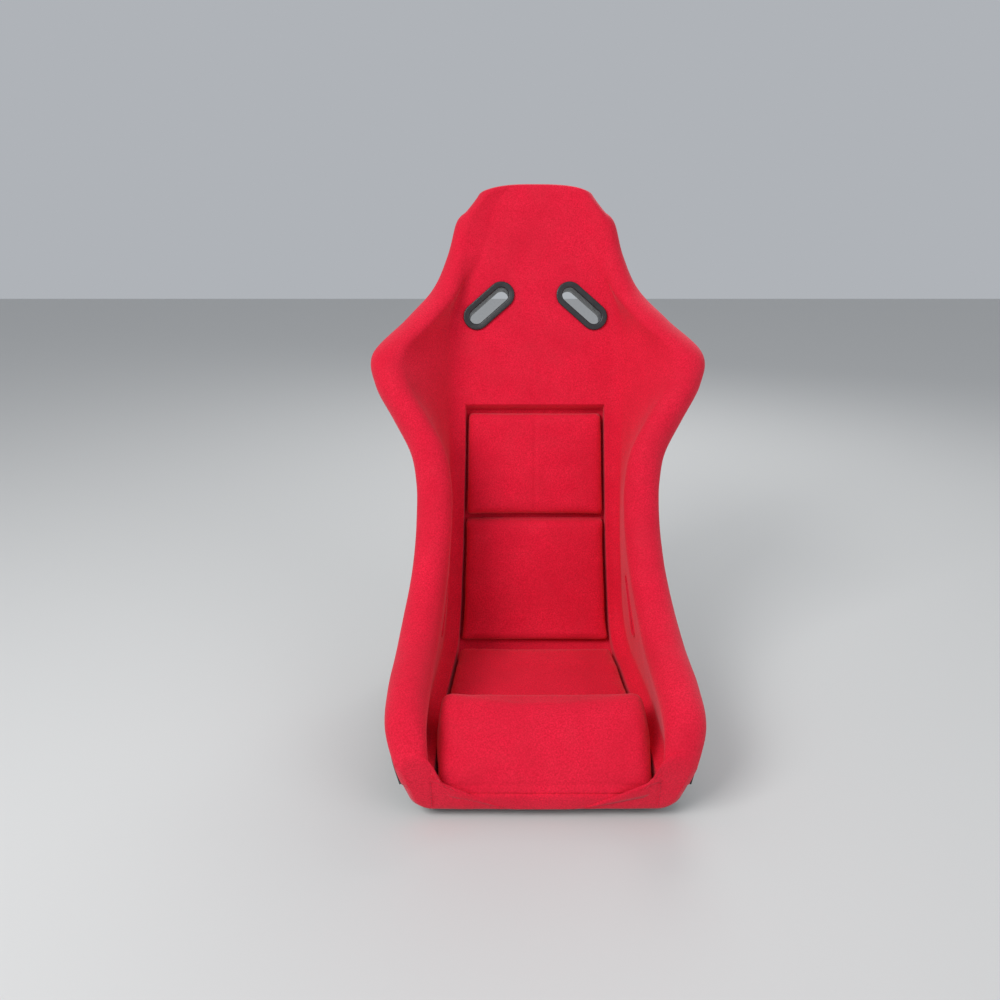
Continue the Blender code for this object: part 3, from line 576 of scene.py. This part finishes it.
def build_lining():
    steps = {i / 14 for i in range(LAST * 14 + 1)}
    steps |= {BED_END - BED_FADE, BED_END, BED_END - BED_FADE / 2, 10.7, 10.95}
    steps |= {0.02, 0.04, LAST - 0.02, LAST - 0.04}
    rows = [both_sides(Section(u).at(Section(u).front(-0.0012))) for u in sorted(steps)]
    width = len(rows[0])
    for u, forward, reach in ((0, -1, 0.008), (LAST, 1, 0.007)):
        section = Section(u)
        outline = rows[0] if u == 0 else rows[-1]
        inner = both_sides(section.at(section.back(-0.0015, section.tail)[::-1]))
        lengths = np.concatenate([[0], np.cumsum([(b - a).length for a, b in zip(inner, inner[1:])])])
        wanted = np.linspace(0, lengths[-1], width)
        path = np.array([tuple(p) for p in inner])
        spread = np.stack([np.interp(wanted, lengths, path[:, k]) for k in range(3)], axis=1)
        extra = []
        for i in range(1, 15):
            t = i / 14
            bulge = reach * (1 - abs(2 * t - 1) ** 3) ** 0.5
            push = tangent(u) * forward * bulge
            narrow = 1 - 0.05 * bulge / reach
            t = t * t * (3 - 2 * t)
            row = [Vector(p).lerp(Vector(q), t) + push for p, q in zip(outline, spread)]
            extra.append([Vector((p.x * narrow, p.y, p.z)) for p in row])
        rows = extra[::-1] + rows if u == 0 else rows + extra
    obj = make_object("lining", [p for row in rows for p in row], grid_faces(len(rows), width))
    fix_normals(obj)
    orient(obj, (0.0, 0.37, 0.70), (0.0, -1.0, 0.0))
    mesh = obj.data
    points = get_points(mesh)
    normals = get_normals(mesh)
    lift = 0.0006 * field(points, 9.0, 3.1) + 0.0003 * field(points, 28.0, 7.7)
    for centre, along, length, wide, height in FOLDS:
        lift += fold(points, centre, along, length, wide, height)
    # the two short sewn seams at the ends of the lip
    for side in (1, -1):
        near = np.exp(-(((points[:, 0] - side * 0.166) / 0.0014) ** 2))
        near *= 1 - smoothstep(-0.222, -0.205, points[:, 1])
        near *= smoothstep(0.018, 0.026, points[:, 2]) * (1 - smoothstep(0.085, 0.10, points[:, 2]))
        lift -= 0.0016 * near
    set_points(mesh, round_head(points + normals * lift[:, None]))
    return obj


def orient(obj, near, facing):
    """Turns an open sheet so that its face nearest to a point looks along facing."""
    found = min(obj.data.polygons, key=lambda f: (f.center - Vector(near)).length)
    if found.normal.dot(Vector(facing)) < 0:
        obj.data.flip_normals()


REFINED = 0.020


def open_slot(obj, matrix, length, width, refine):
    """Takes the sheet away inside a slot's outline, after refining it there."""
    bm = bmesh.new()
    bm.from_mesh(obj.data)
    back = matrix.inverted()

    def off(point):
        local = back @ point
        along = max(abs(local.x) - (length - width) / 2, 0.0)
        return math.hypot(along, local.y) - width / 2, abs(local.z)

    for _ in range(refine):
        near = [e for e in bm.edges if all(off(v.co)[0] < REFINED and off(v.co)[1] < 0.2 for v in e.verts)]
        bmesh.ops.subdivide_edges(bm, edges=near, cuts=1, use_grid_fill=True)
    inside = [f for f in bm.faces if off(f.calc_center_median())[0] < 0 and off(f.calc_center_median())[1] < 0.2]
    bmesh.ops.delete(bm, geom=inside, context="FACES")
    bm.to_mesh(obj.data)
    bm.free()


def harness_cutters(margin):
    size_now = (SLEEVE[0] + margin, SLEEVE[1] + margin)
    levels = [(*size_now, -SLOT_DEPTH - 0.03), (*size_now, 0.03)]
    return [stadium_loops(f"cut_{name}", levels, slot_frame(side), caps=True) for name, side in SIDES]


def lap_cutter():
    return stadium_loops("cut_lap", [(*LAP_SIZE, -0.4), (*LAP_SIZE, 0.4)], lap_frame(), caps=True)


def finish_lining(obj):
    for _, side in SIDES:
        open_slot(obj, slot_frame(side), SLEEVE[0] + 0.003, SLEEVE[1] + 0.003, 1)
    open_slot(obj, lap_frame(), LAP_SIZE[0], LAP_SIZE[1], 3)
    solid = obj.modifiers.new("thickness", "SOLIDIFY")
    solid.thickness = 0.0012
    solid.offset = -1.0
    bake_modifiers(obj)
    foams = [name for name in frame["nodes"] if name.endswith(("foam", "foam_left", "foam_right"))]
    dress(obj, "red_fabric", covers=["lining_cover"] + foams)
    return obj


# ---------------------------------------------------------------- shell


def build_shell(cutters):
    steps = sorted({i / 10 for i in range(1, (LAST - 1) * 10 + 9)} | {0.04, LAST - 0.12})
    rows = [both_sides(Section(u).at(Section(u).back(0.0)[::-1])) for u in steps]
    width = len(rows[0])
    obj = make_object("shell_skin", [p for row in rows for p in row], grid_faces(len(rows), width))
    orient(obj, (0.0, 0.42, 0.5), (0.0, 1.0, 0.0))
    points = round_head(get_points(obj.data))
    along = (points[:, 1] > MOUNT_Y[0] - 0.034) & (points[:, 1] < MOUNT_Y[1] + 0.034)
    level = np.abs(points[:, 2] - MOUNT_Z) < 0.034
    behind = along & level & (np.abs(points[:, 0]) > MOUNT_X - 0.0045)
    points[behind, 0] = np.sign(points[behind, 0]) * (MOUNT_X - 0.0045)
    set_points(obj.data, points)
    solid = obj.modifiers.new("thickness", "SOLIDIFY")
    solid.thickness = 0.004
    solid.offset = -1.0
    bolts = []
    for i, y in enumerate(MOUNT_Y):
        bm = bmesh.new()
        turn = Matrix.Translation((0.0, y, MOUNT_Z)) @ Matrix.Rotation(math.pi / 2, 4, "Y")
        bmesh.ops.create_cone(bm, cap_ends=True, segments=40, radius1=0.0042, radius2=0.0042, depth=0.6, matrix=turn)
        made = bpy.data.meshes.new(f"bolt_{i}")
        bm.to_mesh(made)
        bm.free()
        hole = bpy.data.objects.new(f"bolt_{i}", made)
        bpy.context.scene.collection.objects.link(hole)
        bolts.append(hole)
    cut(obj, cutters + bolts)
    dress(obj, "black_gelcoat", covers=["shell"])
    for name, side in SIDES:
        pad = boss_block(f"mount_boss_{name}", side)
        cut(pad, bolts)
        dress(pad, "black_gelcoat")
    for hole in bolts:
        bpy.data.objects.remove(hole)
    return obj


def boss_block(name, side):
    """The flat raised land that the side bracket bolts to, with soft edges."""
    low = Vector((0.1932, MOUNT_Y[0] - 0.024, MOUNT_Z - 0.026))
    high = Vector((MOUNT_X, MOUNT_Y[1] + 0.024, MOUNT_Z + 0.026))
    bm = bmesh.new()
    bmesh.ops.create_cube(bm, size=1.0)
    bmesh.ops.scale(bm, vec=high - low, verts=bm.verts)
    bmesh.ops.translate(bm, vec=(high + low) / 2, verts=bm.verts)
    bmesh.ops.scale(bm, vec=(side, 1, 1), verts=bm.verts)
    bmesh.ops.recalc_face_normals(bm, faces=bm.faces)
    edges = [e for e in bm.edges if all(abs(v.co.x) > 0.2 for v in e.verts)]
    edges += [e for e in bm.edges if abs(e.verts[0].co.x - e.verts[1].co.x) > 0.01]
    bmesh.ops.bevel(bm, geom=edges, offset=0.005, segments=5, affect="EDGES", profile=0.5)
    mesh = bpy.data.meshes.new(name)
    bm.to_mesh(mesh)
    bm.free()
    mesh.shade_smooth()
    mesh.set_sharp_from_angle(angle=math.radians(40))
    obj = bpy.data.objects.new(name, mesh)
    bpy.context.scene.collection.objects.link(obj)
    return obj


# ---------------------------------------------------------------- welts, bezels, stitches


def tube(name, path, radius, sides=12):
    """A round tube along a path, closed at its ends."""
    points = []
    for i, p in enumerate(path):
        ahead = (path[min(i + 1, len(path) - 1)] - path[max(i - 1, 0)]).normalized()
        first = ahead.orthogonal() if abs(ahead.x) > 0.9 else ahead.cross(Vector((1, 0, 0)))
        first.normalize()
        second = ahead.cross(first)
        for k in range(sides):
            a = 2 * math.pi * k / sides
            points.append(p + (first * math.cos(a) + second * math.sin(a)) * radius)
    faces = grid_faces(len(path), sides, closed=True)
    last = (len(path) - 1) * sides
    faces += [tuple(range(sides))[::-1], tuple(range(last, last + sides))]
    obj = make_object(name, points, faces)
    fix_normals(obj)
    return obj


def build_welts():
    steps = [0.1 + (LAST - 0.25) * i / 260 for i in range(261)]
    for name, side in SIDES:
        path = []
        for u in steps:
            section = Section(u)
            radius = section.crest_radius - 0.0015 + WELT_RADIUS
            x, h = section.on_crest(radius, section.flank, section.tail + WELT_RADIUS)
            path.append(section.at([(side * x, h)])[0])
        path = [Vector(p) for p in round_head(np.array([tuple(p) for p in path]))]
        dress(tube(f"piping_{name}", path, WELT_RADIUS), "black_rubber", covers=[f"edge_welt_{name}"])


def bezel_levels():
    """Outline sizes round the bezel: down the sleeve, under the flange, over its rounded face."""
    low = 0.0003 - SLOT_DEPTH / 2
    half = (BEZEL_FACE - BEZEL_LIFT) / 2
    levels = [(OPENING[0], OPENING[1], low), (SLEEVE[0], SLEEVE[1], low)]
    levels.append((SLEEVE[0], SLEEVE[1], BEZEL_LIFT))
    for i in range(13):
        a = -math.pi / 2 + math.pi * i / 12
        inset = half * (1 - math.cos(a))
        rise = BEZEL_LIFT + half + half * math.sin(a)
        levels.append((BEZEL[0] - 2 * inset, BEZEL[1] - 2 * inset, rise))
    inner = OPENING[0] - BEZEL[0], OPENING[1] - BEZEL[1]
    levels.append((BEZEL[0] + 0.45 * inner[0], BEZEL[1] + 0.45 * inner[1], BEZEL_FACE - 0.0003))
    for i in range(7):
        a = math.pi / 2 * i / 6
        out = 0.003 * (1 - math.sin(a))
        drop = 0.003 * (1 - math.cos(a))
        levels.append((OPENING[0] + 2 * out, OPENING[1] + 2 * out, BEZEL_FACE - 0.0006 - drop))
    return levels


def build_bezels():
    turned = Matrix.Translation((0.0, 0.0, -SLOT_DEPTH)) @ Matrix.Rotation(math.pi, 4, "X")
    for name, side in SIDES:
        front = stadium_loops(f"slot_bezel_front_{name}", bezel_levels(), slot_frame(side))
        rear = stadium_loops(f"slot_bezel_rear_{name}", bezel_levels(), slot_frame(side) @ turned)
        for obj, covered in ((front, f"front_bezel_{name}"), (rear, f"rear_bezel_{name}")):
            obj.data.set_sharp_from_angle(angle=math.radians(50))
            dress(obj, "black_plastic", covers=[covered])


def build_lap_rims(lining):
    """A sewn bead round each lap-belt slot, laid on the lining, and the fabric sleeve behind it."""
    for name, side in SIDES:
        outline = stadium(LAP_SIZE[0] + 0.001, LAP_SIZE[1] + 0.001, 16)
        path = []
        for x, y in outline:
            place = lap_frame() @ Vector((x, y, 0.0))
            place.x = side * 0.165
            for _ in range(8):
                place.x = lining.closest_point_on_mesh(place)[1].x
            path.append(place)
        bead = tube(f"lap_slot_bead_{name}", path + path[:1], 0.0021, 10)
        inner = [Vector((p.x + side * 0.002, p.y, p.z)) for p in path]
        outer = [Vector((side * 0.200, p.y, p.z)) for p in path]
        sleeve_points = [a.lerp(b, row / 6) for row in range(7) for a, b in zip(inner, outer)]
        sleeve = make_object(
            f"lap_slot_sleeve_{name}", sleeve_points, grid_faces(7, len(inner), closed=True)
        )
        for obj in (bead, sleeve):
            dress(obj, "red_fabric")


def stitch_run(path, normal_of, pitch=0.0055, length=0.0038, radius=0.00045):
    """Points and faces of short raised stitches along a path."""
    points, faces = [], []
    lengths = [0.0]
    for a, b in zip(path, path[1:]):
        lengths.append(lengths[-1] + (b - a).length)
    count = int(lengths[-1] / pitch)
    k = 0
    for i in range(count):
        ends = []
        for offset in (0.0, length / 2, length):
            want = min(i * pitch + offset, lengths[-1])
            while k < len(lengths) - 2 and lengths[k + 1] < want:
                k += 1
            t = (want - lengths[k]) / max(lengths[k + 1] - lengths[k], 1e-9)
            ends.append(path[k].lerp(path[k + 1], t))
        along = (ends[2] - ends[0]).normalized()
        up = normal_of(ends[1])
        across = along.cross(up).normalized()
        up = across.cross(along)
        start = len(points)
        for e, high, wide in ((ends[0], -0.3, 0.6), (ends[0].lerp(ends[2], 0.2), 0.6, 1.0),
                              (ends[1], 0.9, 1.1), (ends[0].lerp(ends[2], 0.8), 0.6, 1.0), (ends[2], -0.3, 0.6)):
            for a in range(6):
                turn = math.pi * a / 3
                ring = across * math.cos(turn) * wide + up * (math.sin(turn) + high)
                points.append(e + ring * radius)
        faces += [tuple(start + v for v in f) for f in grid_faces(5, 6, closed=True)]
        faces += [tuple(start + v for v in range(6))[::-1], tuple(start + 24 + v for v in range(6))]
    return points, faces


# ---------------------------------------------------------------- pads


def bed_point(u):
    return trough(u) - section_axis(u)[0] * PAD_BED


MID_BACK_ROW = 8.55
BASE_LIFT = Vector((0.0, 0.0, 1.0))
BACK_LIFT = trough_normal(MID_BACK_ROW)
PATH = [(BED_END * i / 800, bed_point(BED_END * i / 800)) for i in range(801)]


def bed_height(lift, origin, distance):
    along = Vector((0.0, lift.z, -lift.y))
    found = (0.0, 0.0)
    before_now = None
    for u, point in PATH:
        reach, height = (point - origin).dot(along), (point - origin).dot(lift)
        if before_now and (before_now[0] - distance) * (reach - distance) <= 0 and reach != before_now[0]:
            t = (distance - before_now[0]) / (reach - before_now[0])
            found = (before_now[1] + t * (height - before_now[1]), u)
        before_now = (reach, height)
    return found


def flat_pad(t):
    return PAD_BED + 0.0030 * max(0.0, math.sin(math.pi * t)) ** 0.5


def thigh_pad(t):
    rise = math.sin(min(t / 0.85, 1.0) * math.pi / 2)
    over = max(0.0, (t - 0.85) / 0.15)
    return 0.024 + 0.068 * rise - 0.016 * over * over


PAD_FLOOR = 0.0041
MOST_SWELL = 0.0032
HEEL_Y = trough(5.1).y


def pad_specs():
    origin = trough(MID_BACK_ROW)
    along = Vector((0.0, BACK_LIFT.z, -BACK_LIFT.y))
    low_end = (bed_point(5.56) - origin).dot(along)
    high_end = (bed_point(BED_END - 0.10) - origin).dot(along)
    start = Vector((0.0, -SOLE_MIDDLE, 0.0))
    thigh = 0.155
    return [
        ("thigh_pad", BASE_LIFT, start, 0.0085, thigh, thigh_pad, 0.016),
        ("rear_seat_pad", BASE_LIFT, start, thigh + 0.003, HEEL_Y + SOLE_MIDDLE - 0.002, flat_pad, 0.009),
        ("lower_back_pad", BACK_LIFT, origin, low_end, -0.0015, flat_pad, 0.008),
        ("upper_back_pad", BACK_LIFT, origin, 0.0015, high_end, flat_pad, 0.008),
    ]


def pad_form(name, lift, origin, start, end, thickness, corner):
    """A closed rounded block over the pad's bed, a little small so that it can fill out."""
    along = Vector((0.0, lift.z, -lift.y))
    count = 40
    rings = []
    for i in range(count):
        t = i / (count - 1)
        distance = start + 0.0008 + (end - start - 0.0016) * t
        height, u = bed_height(lift, origin, distance)
        half = size(3, u) - LEDGE - 0.003 - 0.0004
        edge = min(t, 1 - t) * (end - start)
        round_end = corner * (1 - math.sqrt(max(0.0, 1 - (1 - min(edge / corner, 1.0)) ** 2)))
        top = max(thickness(t) - 0.0010 - round_end, PAD_FLOOR + 0.003)
        base = origin + along * distance + lift * height
        r = min(corner, top - PAD_FLOOR - 0.001)
        outline = [(half, PAD_FLOOR)]
        for k in range(8):
            a = math.pi / 2 * k / 7
            outline.append((half - r * (1 - math.cos(a)), top - r * (1 - math.sin(a))))
        full = outline + [(-x, h) for x, h in reversed(outline)]
        rings.append([base + lift * h + Vector((x, 0.0, 0.0)) for x, h in full])
    width = len(rings[0])
    faces = grid_faces(count, width, closed=True)
    last = (count - 1) * width
    faces += [tuple(range(width))[::-1], tuple(range(last, last + width))]
    obj = make_object(name, [p for ring in rings for p in ring], faces)
    fix_normals(obj)
    return obj


def inflate(obj, most):
    """Lets the pad fill out as air would fill it, held near its form."""
    remesh = obj.modifiers.new("even", "REMESH")
    remesh.mode = "VOXEL"
    remesh.voxel_size = 0.005
    bake_modifiers(obj)
    start = get_points(obj.data)
    cloth = obj.modifiers.new("fill", "CLOTH")
    settings = cloth.settings
    settings.use_pressure = True
    settings.uniform_pressure_force = 4.0
    settings.effector_weights.gravity = 0.0
    settings.quality = 5
    settings.mass = 0.3
    settings.tension_stiffness = 12.0
    settings.compression_stiffness = 12.0
    settings.bending_stiffness = 0.6
    cloth.collision_settings.use_collision = False
    cloth.point_cache.frame_start = 1
    cloth.point_cache.frame_end = 20
    for now in range(1, 21):
        bpy.context.scene.frame_set(now)
    graph = bpy.context.evaluated_depsgraph_get()
    settled = obj.evaluated_get(graph).to_mesh()
    moved = get_points(settled)
    obj.evaluated_get(graph).to_mesh_clear()
    obj.modifiers.clear()
    bpy.context.scene.frame_set(1)
    change = moved - start
    reach = np.linalg.norm(change, axis=1)
    change *= (np.minimum(reach, most) / np.maximum(reach, 1e-9))[:, None]
    return start, change


def build_pad(spec):
    name, lift, origin, start, end, thickness, corner = spec
    obj = pad_form(f"{name}_cushion", lift, origin, start, end, thickness, corner)
    rest, change = inflate(obj, MOST_SWELL)
    along = np.array((0.0, lift.z, -lift.y))
    distance = (rest - np.array(origin)) @ along
    height = (rest - np.array(origin)) @ np.array(lift)
    table = np.linspace(start - 0.005, end + 0.005, 60)
    floor = np.array([bed_height(lift, origin, min(max(d, start), end))[0] for d in table])
    above = height - np.interp(distance, table, floor)
    change *= smoothstep(PAD_FLOOR, PAD_FLOOR + 0.010, above)[:, None]
    set_points(obj.data, rest + change)
    soft = obj.modifiers.new("soft", "SMOOTH")
    soft.factor = 0.5
    soft.iterations = 3
    finer = obj.modifiers.new("finer", "SUBSURF")
    finer.levels = 1
    finer.render_levels = 1
    bake_modifiers(obj)
    mesh = obj.data
    points = get_points(mesh)
    normals = get_normals(mesh)
    distance = (points - np.array(origin)) @ along
    above = (points - np.array(origin)) @ np.array(lift) - np.interp(distance, table, floor)
    faces_up = smoothstep(0.2, 0.8, normals @ np.array(lift))
    if name == "thigh_pad":
        low_front = (1 - smoothstep(-0.232, -0.190, points[:, 1])) * (1 - smoothstep(0.050, 0.105, points[:, 2]))
        low_front *= 1 - 0.8 * smoothstep(0.150, 0.164, np.abs(points[:, 0]))
        points = points + low_front[:, None] * np.array([0.0, -0.0075, -0.0035])
    size_lift = 0.0007 * field(points, 16.0, 1.3 + len(name)) + 0.0003 * field(points, 45.0, 5.0)
    lift_by = size_lift * smoothstep(PAD_FLOOR + 0.004, PAD_FLOOR + 0.012, above)
    if name == "upper_back_pad":
        lift_by -= 0.0016 * np.exp(-((points[:, 0] / 0.0032) ** 2)) * faces_up
    seam = PAD_FLOOR + (0.012 if name == "thigh_pad" else 0.010)
    side_faces = 1 - smoothstep(0.3, 0.7, np.abs(normals @ np.array(lift)))
    lift_by -= 0.0012 * np.exp(-(((above - seam) / 0.0014) ** 2)) * side_faces
    set_points(mesh, points + normals * lift_by[:, None])
    dress(obj, "red_fabric", name, covers=[f"{name}_cover", f"{name}_core"])
    return obj


# ---------------------------------------------------------------- everything


def carry_over():
    """Gives each CAD node that stays in view its procedural material."""
    record = frame["record"]
    slots = {part["node"]: part["material_slot"] for part in record["subparts"]}
    for name, obj in frame["nodes"].items():
        obj.data.materials.clear()
        obj.data.materials.append(SLOT_MATERIALS[slots[name]])


carry_over()
pads = [build_pad(spec) for spec in pad_specs()]
cutters = harness_cutters(0.0014)
lap = lap_cutter()
lining = finish_lining(build_lining())
build_shell(cutters + [lap])
for other in cutters + [lap]:
    bpy.data.objects.remove(other)
build_lap_rims(lining)
build_welts()
build_bezels()


def front_height(x, z):
    hit, where, normal, _ = lining.ray_cast(Vector((x, -0.6, z)), Vector((0, 1, 0)))
    return (where, normal) if hit else (Vector((x, -0.246, z)), Vector((0, -1, 0)))


for name, side in SIDES:
    found = [front_height(side * 0.1685, 0.024 + 0.052 * i / 24) for i in range(25)]
    path = [where for where, _ in found]
    made_points, made_faces = stitch_run(path, lambda p: Vector((0, -1, 0)))
    stitches = make_object(f"lip_stitches_{name}", made_points, made_faces)
    stitches.data.materials.append(THREAD)
    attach(stitches, "seat")


# ---------------------------------------------------------------- stage, light and camera


def build_stage():
    bpy.ops.mesh.primitive_plane_add(size=12.0, location=(0.0, 0.0, 0.0))
    floor = bpy.context.object
    floor.name = "floor"
    made, tree, shader = principled("pale_floor", (0.62, 0.62, 0.61), 0.7)
    floor.data.materials.append(made)
    world = bpy.data.worlds.new("studio")
    world.use_nodes = True
    world.node_tree.nodes["Background"].inputs["Color"].default_value = (0.86, 0.90, 0.96, 1.0)
    world.node_tree.nodes["Background"].inputs["Strength"].default_value = 0.50
    bpy.context.scene.world = world
    bpy.context.scene.view_settings.view_transform = "Standard"
    for name, place, aim, side, power in (
        ("key", (-1.6, -1.5, 2.3), (0.0, 0.1, 0.4), 1.4, 58.0),
        ("fill", (1.9, -1.6, 1.5), (0.0, 0.1, 0.4), 1.8, 14.0),
        ("rim", (0.6, 1.9, 1.9), (0.0, 0.1, 0.5), 1.2, 18.0),
    ):
        lamp = bpy.data.lights.new(name, "AREA")
        lamp.size = side
        lamp.energy = power
        obj = bpy.data.objects.new(name, lamp)
        obj.location = place
        obj.rotation_euler = (Vector(aim) - Vector(place)).to_track_quat("-Z", "Y").to_euler()
        bpy.context.scene.collection.objects.link(obj)
    camera = bpy.data.cameras.new("camera")
    camera.lens = 29.88
    camera.sensor_width = 36.0
    obj = bpy.data.objects.new("camera", camera)
    obj.location = (-0.067, -0.9934 - SOLE_MIDDLE, 0.885)
    obj.rotation_euler = (math.radians(90 - 20.6), 0.0, 0.0)
    bpy.context.scene.collection.objects.link(obj)
    bpy.context.scene.camera = obj


build_stage()
